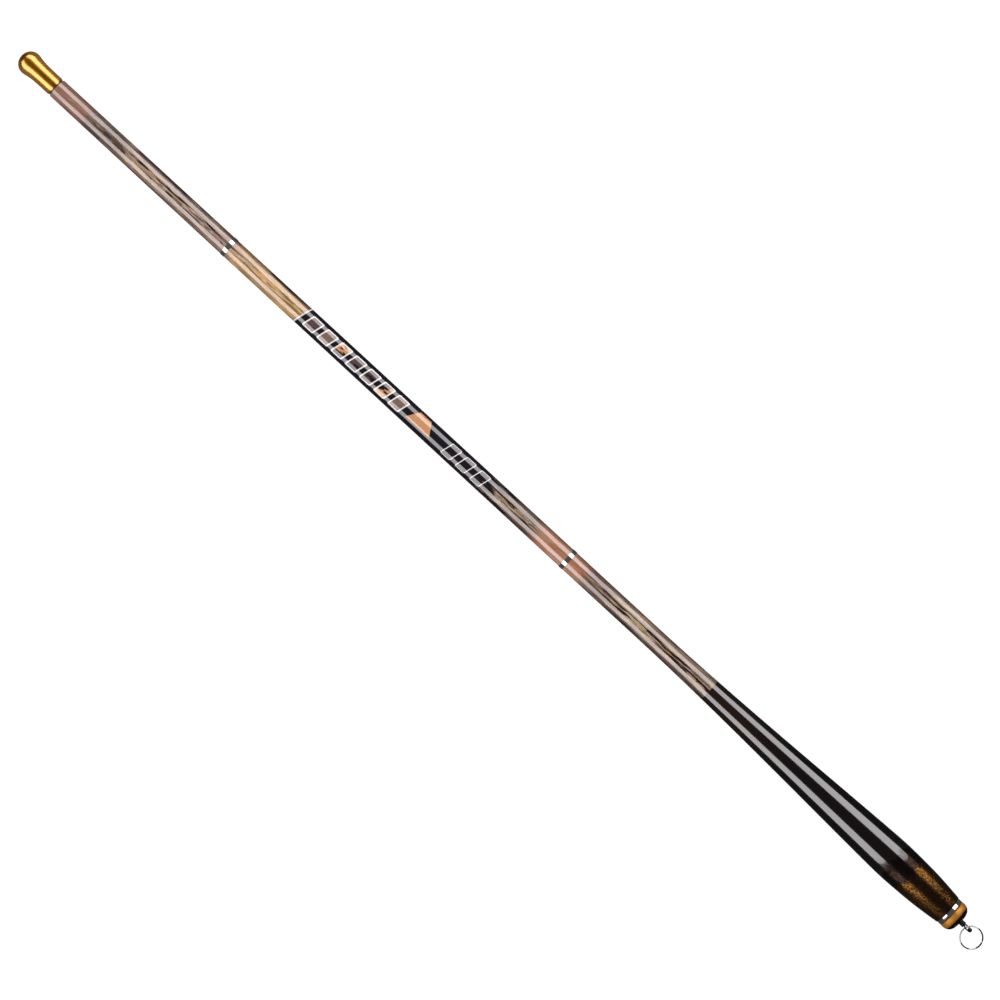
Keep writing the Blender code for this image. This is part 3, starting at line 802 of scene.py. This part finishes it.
def wire_on(bm, ring, move):
    """Draws the wire straight on from its last ring."""
    edges = [part for part in ring if isinstance(part, bmesh.types.BMEdge)]
    grown = bmesh.ops.extrude_edge_only(bm, edges=edges)["geom"]
    verts = [part for part in grown if isinstance(part, bmesh.types.BMVert)]
    bmesh.ops.translate(bm, verts=verts, vec=move)
    edges = [part for part in grown if isinstance(part, bmesh.types.BMEdge)]
    return verts + [edge for edge in edges if all(vert in verts for vert in edge.verts)]


def wire_round(bm, ring, centre, axis, angle, steps, climb=(0.0, 0.0, 0.0)):
    """Bends the wire on from its last ring round a centre, climbing evenly by climb in all."""
    step = Vector(climb) / steps
    return bmesh.ops.spin(
        bm, geom=ring, cent=centre, axis=axis, dvec=step, angle=angle, steps=steps, use_merge=False
    )["geom_last"]


def oval_loop(near, far, width, wire, lean, sides=20):
    """An oval loop of wire in a plane through X, from near to far at the middle of the wire, in metres."""
    radius = width / 2
    bm = bmesh.new()
    heading = 1.0 if near > far else -1.0
    inner, outer = near - heading * radius, far + heading * radius
    start = Matrix.Translation((outer, 0.0, radius)) @ Matrix.Rotation(math.pi / 2, 4, "Y")
    ring = wire_end(bm, wire, sides, start)
    ring = wire_on(bm, ring, (inner - outer, 0.0, 0.0))
    ring = wire_round(bm, ring, (inner, 0.0, 0.0), (0.0, heading, 0.0), math.pi, 24)
    ring = wire_on(bm, ring, (outer - inner, 0.0, 0.0))
    wire_round(bm, ring, (outer, 0.0, 0.0), (0.0, heading, 0.0), math.pi, 24)
    close_up(bm)
    bm.transform(Matrix.Rotation(-lean, 4, "X"))
    return bm


def lay_down(name, bm, make, place=Matrix()):
    """An object of the shape with its finish, laid down with the rod."""
    bm.transform(LAID_DOWN @ place)
    mesh = bpy.data.meshes.new(name)
    bm.to_mesh(mesh)
    bm.free()
    mesh.shade_smooth()
    mesh.set_sharp_from_angle(angle=SHARP)
    mesh.materials.append(finish(make))
    piece = bpy.data.objects.new(name, mesh)
    bpy.context.collection.objects.link(piece)
    return piece


def fit(piece, body, node):
    """Makes the piece ride on its body and stand for its node."""
    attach(piece, body)
    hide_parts(node)


def put(name, bm, make, body, node, place=Matrix()):
    """Lays a shape down with its finish, and fits it."""
    fit(lay_down(name, bm, make, place), body, node)


def joined(piece, other):
    """The first piece with the other made one with it."""
    union = piece.modifiers.new("union", "BOOLEAN")
    union.operation = "UNION"
    union.solver = "EXACT"
    union.object = other
    whole = bpy.data.meshes.new_from_object(piece.evaluated_get(bpy.context.evaluated_depsgraph_get()))
    piece.modifiers.clear()
    piece.data = whole
    whole.shade_smooth()
    whole.set_sharp_from_angle(angle=SHARP)
    bpy.data.objects.remove(other)
    return piece


def tube_radius(distance):
    """Outer radius of the printed tube, in millimetres."""
    stations = [HANDLE[-1], *TUBE]
    for (x0, r0), (x1, r1) in zip(stations, stations[1:]):
        if x0 <= distance <= x1:
            return r0 + (r1 - r0) * (distance - x0) / (x1 - x0)
    raise ValueError("the distance is not on the tube")


# Pieces


class HANDROD_OT_outer_blank(Operator):
    """Model the printed outer blank and its flared handle"""

    bl_idname = "hand_rod.outer_blank"
    bl_label = "Outer Blank"

    def execute(self, context):
        outside = smooth_through(HANDLE, 8) + TUBE[:-1] + [(MOUTH, TUBE[-1][1], 0.3)]
        inside = [(MOUTH, 5.35, 0.15), (21.5, 6.2), (21.5, 8.3), (10.5, 8.3)]
        blank = turned(outside + inside, longest=6.0)
        put("outer_blank", blank, lacquered_print, "rod_butt", "butt_section")
        return {"FINISHED"}


class HANDROD_OT_trim_bands(Operator):
    """Model the two silver bands round the blank"""

    bl_idname = "hand_rod.trim_bands"
    bl_label = "Trim Bands"

    def execute(self, context):
        for node, middle in BANDS.items():
            inner = tube_radius(middle) + 0.05
            outer = inner + 0.2
            start, end = middle - BAND_HALF, middle + BAND_HALF
            outline = [(start, inner), (start, outer, 0.12), (middle, outer)]
            outline += [(end, outer, 0.12), (end, inner)]
            put(f"{node}_ring", turned(outline), silver_plate, "rod_butt", node)
        return {"FINISHED"}


class HANDROD_OT_butt_collar(Operator):
    """Model the crowned silver collar between the handle and the cap"""

    bl_idname = "hand_rod.butt_collar"
    bl_label = "Butt Collar"

    def execute(self, context):
        crown = smooth_through([(7.65, 9.45), (8.8, 9.43), (9.9, 9.35), (10.25, 9.24)], 4)
        outline = [(7.4, 8.35), (7.4, 9.3, 0.1)] + crown + [(10.4, 9.12, 0.06), (10.4, 8.35)]
        put("silver_collar", turned(outline), silver_plate, "rod_butt", "butt_collar")
        return {"FINISHED"}


class HANDROD_OT_thread_insert(Operator):
    """Model the threaded sleeve in the end of the handle"""

    bl_idname = "hand_rod.thread_insert"
    bl_label = "Thread Insert"

    def execute(self, context):
        sizes = context.scene.hand_rod_fittings
        outline = [(8.3, 7.5, 0.05), (8.3, 8.2, 0.12), (21.0, 8.2, 0.1)]
        outline += [(21.0, INSERT_RADIUS), (8.6, INSERT_RADIUS)]
        sleeve = turned(outline, longest=0.12)
        depth, pitch = sizes.thread_depth / MM * 0.9, sizes.thread_pitch / MM
        cut_thread(sleeve, 8.7, 20.8, INSERT_RADIUS, depth, pitch, outward=True)
        bmesh.ops.recalc_face_normals(sleeve, faces=sleeve.faces)
        put("threaded_sleeve", sleeve, turned_brass, "rod_butt", "thread_insert")
        return {"FINISHED"}


class HANDROD_OT_butt_cap(Operator):
    """Model the rounded butt cap with its screw thread"""

    bl_idname = "hand_rod.butt_cap"
    bl_label = "Butt Cap"

    def execute(self, context):
        sizes = context.scene.hand_rod_fittings
        edge = arc((5.2, 4.3), (5.2, 5.25), 180, 90, 24)
        flange = [(7.1, 9.55, 0.25), (7.1, THREAD_RADIUS)]
        neck = [(8.2, THREAD_RADIUS), (17.5, THREAD_RADIUS, 0.5), (17.5, 5.3, 0.15)]
        bore = [(5.0, 5.3, 0.2), (5.0, 1.9), (0.0, 1.9, 0.1)]
        cap = turned(edge + flange + neck + bore, longest=0.12)
        depth, pitch = sizes.thread_depth / MM, sizes.thread_pitch / MM
        cut_thread(cap, 8.6, 17.2, THREAD_RADIUS, depth, pitch, outward=False)
        put("screw_cap", cap, orange_anodising, "cap", "butt_cap")
        return {"FINISHED"}


class HANDROD_OT_seals(Operator):
    """Model the rubber seals of the cap and the plug"""

    bl_idname = "hand_rod.seals"
    bl_label = "Seals"

    def execute(self, context):
        rings = [("cap_o_ring", "cap_seal", 7.65, 7.5, 0.42)]
        rings += [(node, "plug", middle, SPIGOT_RADIUS - 0.08, 0.3) for node, middle in SEALS.items()]
        for node, body, middle, centre, wire in rings:
            outline = arc((middle, centre), (wire, wire), 0, 345, 23)
            put(f"{node}_seal", turned(outline), smooth_rubber, body, node)
        return {"FINISHED"}


class HANDROD_OT_pads(Operator):
    """Model the soft discs that the inner sections rest against"""

    bl_idname = "hand_rod.pads"
    bl_label = "Soft Pads"

    def execute(self, context):
        discs = [("cushion_pad", "cap", 13.9, 17.9, 5.2, 0.45), ("plug_pad", "plug", 758.2, 761.0, 4.6, 0.35)]
        for node, body, start, end, radius, ease in discs:
            outline = disc_outline(start + 0.05, end - 0.05, radius, ease, 0.05)
            put(f"{node}_disc", turned(outline, closed=False), cell_foam, body, node)
        return {"FINISHED"}


class HANDROD_OT_swivel(Operator):
    """Model the stub, washer and turning eye in the butt cap"""

    bl_idname = "hand_rod.swivel"
    bl_label = "Swivel"

    def execute(self, context):
        wire = context.scene.hand_rod_fittings.eye_wire
        outline = [(-2.9, 0.9, 0.1), (-2.9, 1.5, 0.1), (-3.36, 1.5, 0.06), (-3.36, 1.85, 0.25)]
        outline += [(-2.7, 1.85, 0.08), (-2.55, 1.72, 0.05), (-0.6, 1.72, 0.05), (-0.45, 1.85, 0.08)]
        outline += [(5.1, 1.85), (5.1, 2.6, 0.1), (5.8, 2.6, 0.15), (5.8, 0.9)]
        put("swivel_stub", turned(outline), dark_steel, "cap", "swivel_bush")
        outline = [(5.95, 0.9), (5.95, 2.3, 0.1), (6.45, 2.3, 0.1), (6.45, 0.9)]
        put("swivel_disc", turned(outline), dark_steel, "cap", "swivel_washer")
        outline = [(-3.6, 0.0), (-3.6, 0.8), (6.6, 0.8), (6.6, 1.5, 0.1), (7.1, 1.5, 0.3), (7.5, 0.8, 0.3)]
        shank = turned(outline + [(7.5, 0.0)], closed=False, sides=48)
        shank = lay_down("swivel_loop", shank, dark_steel)
        loop = oval_loop(-3.55 * MM, -7.65 * MM, 3.9 * MM, wire, math.radians(30))
        loop = lay_down("bent_loop", loop, dark_steel)
        ball = [(-9.25, 0.0)] + arc((-7.82, 0.0), (1.43, 1.43), 172.5, 7.5, 22) + [(-6.39, 0.0)]
        knob = lay_down("end_knob", turned(ball, closed=False, sides=48), dark_steel)
        fit(joined(joined(shank, loop), knob), "swivel", "swivel_eye")
        return {"FINISHED"}


class HANDROD_OT_key_ring(Operator):
    """Model the key ring's two turns of wire, with the step from one turn to the other"""

    bl_idname = "hand_rod.key_ring"
    bl_label = "Key Ring"

    def execute(self, context):
        sizes = context.scene.hand_rod_fittings
        wire = sizes.ring_wire
        radius = sizes.ring_outer / 2 - wire
        climb = wire + sizes.ring_gap / 2
        # The wire steps up at split, and each of its cut ends lies past the step.
        step, split = RING_TURN, math.radians(150)
        past = 1.4 * step
        flat = 2 * math.pi - step - past
        centre = Vector((-radius, 0.0, 0.0))
        bm = bmesh.new()
        upright = Matrix.Translation((0.0, 0.0, -climb)) @ Matrix.Translation((radius, 0.0, 0.0))
        start = Matrix.Rotation(split + past, 4, "Z") @ upright @ Matrix.Rotation(math.pi / 2, 4, "X")
        ring = wire_end(bm, wire, 20, Matrix.Translation(centre) @ start)
        around = {"centre": centre, "axis": (0.0, 0.0, 1.0)}
        ring = wire_round(bm, ring, angle=flat, steps=80, **around)
        heights = [climb * math.sin(math.pi / 2 * (part / 6 - 1)) for part in range(13)]
        for low, high in zip(heights, heights[1:]):
            ring = wire_round(bm, ring, angle=step / 6, steps=1, climb=(0.0, 0.0, high - low), **around)
        ring = wire_round(bm, ring, angle=flat, steps=80, **around)
        bmesh.ops.remove_doubles(bm, verts=bm.verts, dist=MERGE)
        rims = [edge for edge in bm.edges if edge.is_boundary]
        caps = bmesh.ops.holes_fill(bm, edges=rims, sides=0)["faces"]
        rims = list({edge for face in caps for edge in face.edges})
        rounding = {"offset": 0.12 * MM, "segments": 3, "profile": 0.5, "clamp_overlap": True}
        bmesh.ops.bevel(bm, geom=rims, affect="EDGES", material=-1, **rounding)
        bmesh.ops.recalc_face_normals(bm, faces=bm.faces)
        place = Matrix.Translation((RING_HINGE * MM, 0.0, 0.0)) @ Matrix.Rotation(RING_YAW, 4, "Z")
        put("key_ring", bm, ring_steel, "ring", "split_ring", place)
        return {"FINISHED"}


class HANDROD_OT_inner_sections(Operator):
    """Model the two blanks that slide out of the rod, and the wrap at the mouth of the wider one"""

    bl_idname = "hand_rod.inner_sections"
    bl_label = "Inner Sections"

    def execute(self, context):
        outline = [(18.5, 4.5), (18.5, 5.25, 0.25), (743.0, 3.9, 0.2), (743.0, 3.225)]
        blank = turned(outline, longest=40.0, sides=96)
        put("second_blank", blank, wound_fibre, "mid", "mid_section")
        outline = [(728.6, 3.99), (730.1, 4.15, 0.3), (742.45, 4.15, 0.1), (742.6, 3.99)]
        wrap = turned(outline, longest=1.0, sides=96)
        put("mouth_wrap", wrap, wrap_lacquer, "mid", "mid_mouth_wrap")
        outline = [(439.5, 0.0), (19.5, 2.32), (19.5, 3.02, 0.2), (748.0, 0.9, 0.15), (748.0, 0.0)]
        tip = turned(outline, closed=False, longest=40.0, sides=64)
        put("tip_blank", tip, wound_fibre, "tip", "tip_section")
        return {"FINISHED"}


class HANDROD_OT_tip_fitting(Operator):
    """Model the sleeve on the tip and its turning eye for the line"""

    bl_idname = "hand_rod.tip_fitting"
    bl_label = "Tip Fitting"

    def execute(self, context):
        wire = context.scene.hand_rod_fittings.tip_wire
        outline = [(740.0, 1.04), (740.0, 1.3), (741.2, 1.5, 0.3), (750.6, 1.5, 0.4), (750.6, 0.5, 0.1)]
        outline += [(749.8, 0.5), (749.8, 1.04)]
        put("tip_sleeve", turned(outline, sides=64), bright_steel, "tip", "tip_ferrule")
        outline = [(749.0, 0.0), (749.0, 0.8, 0.1), (749.7, 0.8, 0.1), (749.7, 0.35), (751.3, 0.35, 0.1)]
        shank = turned(outline + [(751.3, 0.0)], closed=False, sides=32)
        shank = lay_down("tip_loop", shank, bright_steel)
        loop = oval_loop(751.1 * MM, 754.1 * MM, 2.5 * MM, wire, 0.0, 16)
        loop = lay_down("tip_bent_loop", loop, bright_steel)
        fit(joined(shank, loop), "tip_swivel", "tip_swivel_eye")
        return {"FINISHED"}


class HANDROD_OT_front_plug(Operator):
    """Model the gold front plug and the black sleeve that holds it in the rod's mouth"""

    bl_idname = "hand_rod.front_plug"
    bl_label = "Front Plug"

    def execute(self, context):
        neck = [(747.4, 6.25), (752.0, 6.45), (755.6, 6.9), (757.7, 7.34), (FLARE, FLARE_RADIUS)]
        waist = [(PLUG_START, 5.7, 0.1), (PLUG_START + 1.3, 6.22, 0.3)] + smooth_through(neck, 6)
        nose_angle = math.degrees(math.acos(1.2 / FLARE_RADIUS))
        reach = (NOSE - FLARE) / math.sin(math.radians(nose_angle))
        dome = arc((FLARE, 0.0), (reach, FLARE_RADIUS), 90, 90 - nose_angle, 24)[1:]
        inside = arc((FLARE, 0.0), (5.1, 4.92), 0, 90, 10)
        inside += [(748.3, 4.92), (748.3, 5.15), (PLUG_START, 5.15)]
        shell = turned(inside + waist + dome + [(NOSE, 0.0)], closed=False, longest=4.0)
        put("gold_plug", shell, gold_anodising, "plug", "plug_head")
        outline = [(724.0, SPIGOT_RADIUS, 0.45)]
        for middle in sorted(SEALS.values()):
            depth = SPIGOT_RADIUS - 0.4
            outline += [(middle - 0.42, SPIGOT_RADIUS), (middle - 0.42, depth), (middle + 0.42, depth)]
            outline += [(middle + 0.42, SPIGOT_RADIUS)]
        outline += [(748.0, SPIGOT_RADIUS, 0.1), (748.0, 4.3, 0.1), (724.0, 4.3, 0.2)]
        put("plug_sleeve", turned(outline), moulded_plastic, "plug", "plug_spigot")
        return {"FINISHED"}


# Stage


def seen_directly(nodes):
    """1 for camera, glossy and transmission rays, and 0 for the rest."""
    path = nodes.add("ShaderNodeLightPath").outputs
    names = ("Is Camera Ray", "Is Glossy Ray", "Is Transmission Ray")
    camera, glossy, clear = (Signal(nodes, path[name]) for name in names)
    return camera.at_least(glossy).at_least(clear)


def stage_material(name):
    """A material without a shader. Returns it, its nodes and its output's inputs."""
    material = bpy.data.materials.new(name)
    material.use_nodes = True
    material.node_tree.nodes.clear()
    nodes = Nodes(material.node_tree)
    return material, nodes, nodes.add("ShaderNodeOutputMaterial").inputs


def floor_paint():
    """A pale floor that looks white, keeps the object's shadow and lights the object as grey paper does."""
    material, nodes, out = stage_material("pale floor")
    paper = nodes.made("ShaderNodeBsdfDiffuse", 0, {"Color": (0.8, 0.8, 0.8)})
    pale = nodes.made("ShaderNodeBsdfDiffuse", 0, {"Color": (0.2, 0.2, 0.2)})
    glow = nodes.made("ShaderNodeEmission", 0, {"Color": (1.0, 1.0, 1.0), "Strength": 0.93})
    both = nodes.made("ShaderNodeAddShader", 0, {0: pale, 1: glow})
    mixed = nodes.made("ShaderNodeMixShader", 0, {0: seen_directly(nodes), 1: paper, 2: both})
    nodes.fill(out, {"Surface": mixed})
    return material


def dark_cloth(name, shade, front=None):
    """A dark surface that only gloss shows. It has the front colour, where one is given, under the plug."""
    material, nodes, out = stage_material(name)
    if front is not None:
        along = nodes.made("ShaderNodeTexCoord", "Object").parts()[0]
        shade = nodes.mix(along.rise(0.34, 0.37) * along.rise(0.42, 0.395), shade, front)
    nodes.fill(out, {"Surface": nodes.made("ShaderNodeEmission", 0, {"Color": shade, "Strength": 1.0})})
    return material


def put_on_stage(name, bm, material, gloss_only=False):
    mesh = bpy.data.meshes.new(name)
    bm.to_mesh(mesh)
    bm.free()
    mesh.materials.append(material)
    thing = bpy.data.objects.new(name, mesh)
    bpy.context.collection.objects.link(thing)
    if gloss_only:
        thing.visible_camera = thing.visible_diffuse = thing.visible_transmission = False
        thing.visible_shadow = thing.visible_volume_scatter = False


class HANDROD_OT_studio(Operator):
    """Set up the pale floor, the two long soft boxes, the dark surround and card, and the camera"""

    bl_idname = "hand_rod.studio"
    bl_label = "Studio"

    def execute(self, context):
        sizes = context.scene.hand_rod_studio
        floor = bmesh.new()
        bmesh.ops.create_grid(floor, x_segments=2, y_segments=1, size=FLOOR_REACH)
        for vert in floor.verts:
            if vert.co.x > 1.0:
                vert.co.z = -FLOOR_FALL * FLOOR_REACH
            elif vert.co.x > -1.0:
                vert.co.x = FLOOR_BEND
        put_on_stage("floor", floor, floor_paint())

        surround = bmesh.new()
        bmesh.ops.create_uvsphere(surround, u_segments=48, v_segments=24, radius=SURROUND_RADIUS)
        put_on_stage("surround", surround, dark_cloth("dark surround", sizes.surround), gloss_only=True)
        card = bmesh.new()
        bmesh.ops.create_grid(card, x_segments=1, y_segments=1, size=CARD_REACH)
        bmesh.ops.translate(card, vec=(0.0, 0.0, CARD_HEIGHT), verts=card.verts)
        cloth = dark_cloth("grey card", sizes.card_rear, sizes.card_front)
        put_on_stage("card", card, cloth, gloss_only=True)

        # Name, side of the rod, degrees from straight above, width, and shift along the rod
        boxes = [("soft_box_left", 1, 54.0, 0.74, 0.055), ("soft_box_right", -1, 55.5, 0.77, -0.025)]
        for name, side, lean, width, shift in boxes:
            lamp = bpy.data.lights.new(name, "AREA")
            lamp.shape = "RECTANGLE"
            lamp.size, lamp.size_y = BOX_LENGTH, width
            lamp.energy = sizes.box_power * width
            box = bpy.data.objects.new(name, lamp)
            turn = side * math.radians(lean)
            box.location = (shift - sizes.box_start + BOX_LENGTH / 2, math.sin(turn), math.cos(turn))
            box.rotation_euler.x = -turn
            box.visible_camera = False
            context.collection.objects.link(box)

        world = bpy.data.worlds.new("studio air")
        world.use_nodes = True
        nodes = Nodes(world.node_tree)
        air = nodes.mix(seen_directly(nodes), (0.36, 0.36, 0.36), (1.0, 1.0, 1.0))
        nodes.fill(world.node_tree.nodes["Background"].inputs, {"Color": air})
        context.scene.world = world

        camera = bpy.data.cameras.new("camera")
        camera.lens = sizes.lens
        camera.sensor_width = 36.0
        camera.clip_end = 200.0
        view = bpy.data.objects.new("camera", camera)
        view.location = (*CAMERA_PLACE, sizes.camera_height)
        view.rotation_euler.z = CAMERA_TURN
        context.collection.objects.link(view)
        context.scene.camera = view
        context.scene.view_settings.view_transform = "Standard"
        return {"FINISHED"}


PIECES = [
    HANDROD_OT_outer_blank,
    HANDROD_OT_trim_bands,
    HANDROD_OT_butt_collar,
    HANDROD_OT_thread_insert,
    HANDROD_OT_butt_cap,
    HANDROD_OT_seals,
    HANDROD_OT_pads,
    HANDROD_OT_swivel,
    HANDROD_OT_key_ring,
    HANDROD_OT_inner_sections,
    HANDROD_OT_tip_fitting,
    HANDROD_OT_front_plug,
    HANDROD_OT_studio,
]


class HANDROD_PT_panel(Panel):
    """Lists the rod's pieces and what can be changed on them"""

    bl_idname = "HANDROD_PT_panel"
    bl_label = "Hand Rod"
    bl_space_type = "VIEW_3D"
    bl_region_type = "UI"
    bl_category = "Hand Rod"

    def draw(self, context):
        column = self.layout.column(align=True)
        for piece in PIECES:
            column.operator(piece.bl_idname)
        for pointer in SETTINGS:
            box = self.layout.box()
            settings = getattr(context.scene, pointer)
            for name in settings.__annotations__:
                box.prop(settings, name)


SETTINGS = {
    "hand_rod_print": PrintSettings,
    "hand_rod_metal": MetalSettings,
    "hand_rod_fittings": FittingSettings,
    "hand_rod_studio": StudioSettings,
}


def register():
    for cls in (*SETTINGS.values(), *PIECES, HANDROD_PT_panel):
        bpy.utils.register_class(cls)
    for pointer, settings in SETTINGS.items():
        setattr(bpy.types.Scene, pointer, PointerProperty(type=settings))


def unregister():
    for pointer in SETTINGS:
        delattr(bpy.types.Scene, pointer)
    for cls in reversed((*SETTINGS.values(), *PIECES, HANDROD_PT_panel)):
        bpy.utils.unregister_class(cls)


def main():
    register()
    for piece in PIECES:
        group, operator = piece.bl_idname.split(".")
        getattr(getattr(bpy.ops, group), operator)()


if __name__ == "__main__":
    main()
